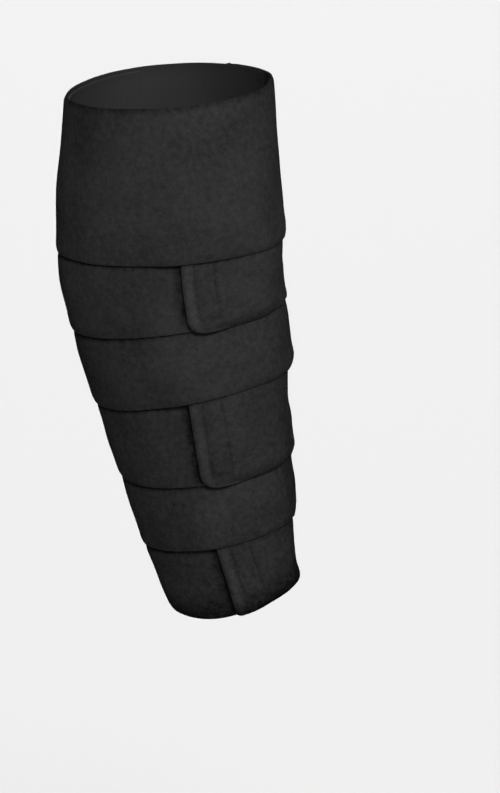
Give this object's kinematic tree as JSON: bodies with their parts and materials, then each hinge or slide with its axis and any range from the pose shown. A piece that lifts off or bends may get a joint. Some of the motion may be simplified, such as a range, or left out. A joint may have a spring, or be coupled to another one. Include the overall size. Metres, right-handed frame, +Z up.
{
  "type": "calf compression wrap",
  "caption": "Lower-leg compression wrap: padded black straps lapped like shingles from knee to ankle, each closed over its own start by a hook patch, all sewn to a back panel.",
  "frame": {"origin": "centre of the ankle opening, where the leg goes through", "axes": "+Z up the lower leg, -Y towards the shin, +X to the right seen from the shin"},
  "size_m": [0.1316, 0.1539, 0.3174],
  "materials": {
    "strap_fabric": "black brushed loop cloth on thin foam, matt with a soft nap",
    "panel_fabric": "black knitted lining cloth, matt",
    "hook_tape": "black nylon hook tape"
  },
  "bodies": {
    "root": {"back_panel": "panel_fabric", "strap_1_knee": "strap_fabric", "strap_2": "strap_fabric", "strap_3": "strap_fabric", "strap_4": "strap_fabric", "strap_5": "strap_fabric", "strap_6_ankle": "strap_fabric", "hook_patch_1": "hook_tape", "hook_patch_2": "hook_tape", "hook_patch_3": "hook_tape", "hook_patch_4": "hook_tape", "hook_patch_5": "hook_tape", "hook_patch_6": "hook_tape"}
  },
  "joints": []
}
